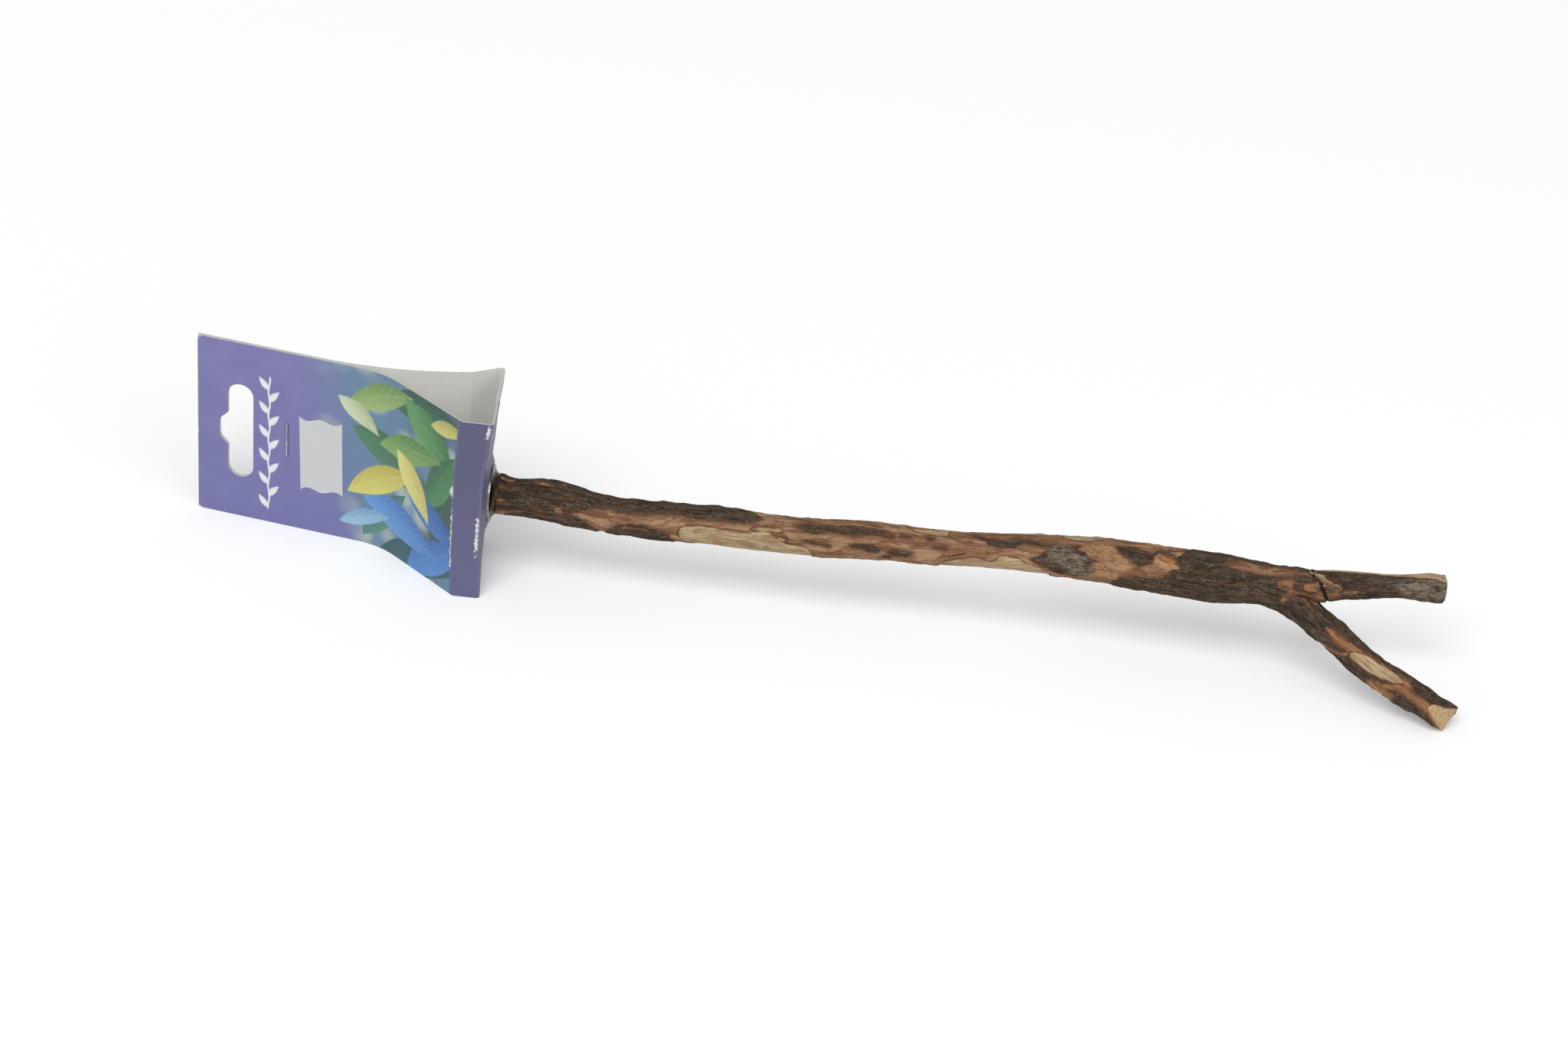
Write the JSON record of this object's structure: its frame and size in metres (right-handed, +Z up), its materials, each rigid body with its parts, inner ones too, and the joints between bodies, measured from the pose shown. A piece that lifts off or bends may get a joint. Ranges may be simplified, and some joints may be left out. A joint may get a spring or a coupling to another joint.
{
  "type": "bird cage perch",
  "caption": "Natural forked wood perch with a stud, dished washers and a wing nut that clamp it to cage bars, shown in its folded hanging card closed with a staple.",
  "frame": {"origin": "on the axis of the stud, in the plane of the branch washer's rim, which is the outer face of the card's base panel", "axes": "+X along the stud into the wood, +Y away from the printed front of the card, +Z up across the card's width as the perch lies on a table"},
  "size_m": [0.375, 0.0472, 0.06],
  "materials": {
    "bark": "matt, bark partly stripped to inner bark and bare wood",
    "zinc": "bright zinc plate",
    "card": "solid board, satin print outside, grey-white inside",
    "staple_wire": "plain wire",
    "label": "matt"
  },
  "bodies": {
    "perch": {"branch": "bark", "hanger_bolt": "zinc", "branch_washer": "zinc"},
    "card": {"header_card": "card", "staple": "staple_wire", "price_label": "label"},
    "nut_washer": {"nut_washer": "zinc"},
    "wing_nut": {"wing_nut": "zinc"}
  },
  "joints": [
    {"name": "card_swivel", "type": "hinge", "parent": "perch", "child": "card", "pos_m": [0, 0, 0], "axis": [1, 0, 0], "continuous": true},
    {"name": "washer_slide", "type": "slide", "parent": "perch", "child": "nut_washer", "axis": [-1, 0, 0], "range_m": [0, 0.002]},
    {"name": "nut_spin", "type": "hinge", "parent": "nut_washer", "child": "wing_nut", "pos_m": [-0.0029, 0, 0], "axis": [-1, 0, 0], "range_deg": [0, 900]}
  ],
  "couplings": [
    {"joint": "nut_spin", "follows": "washer_slide", "rad_per_m": 7853.9}
  ]
}
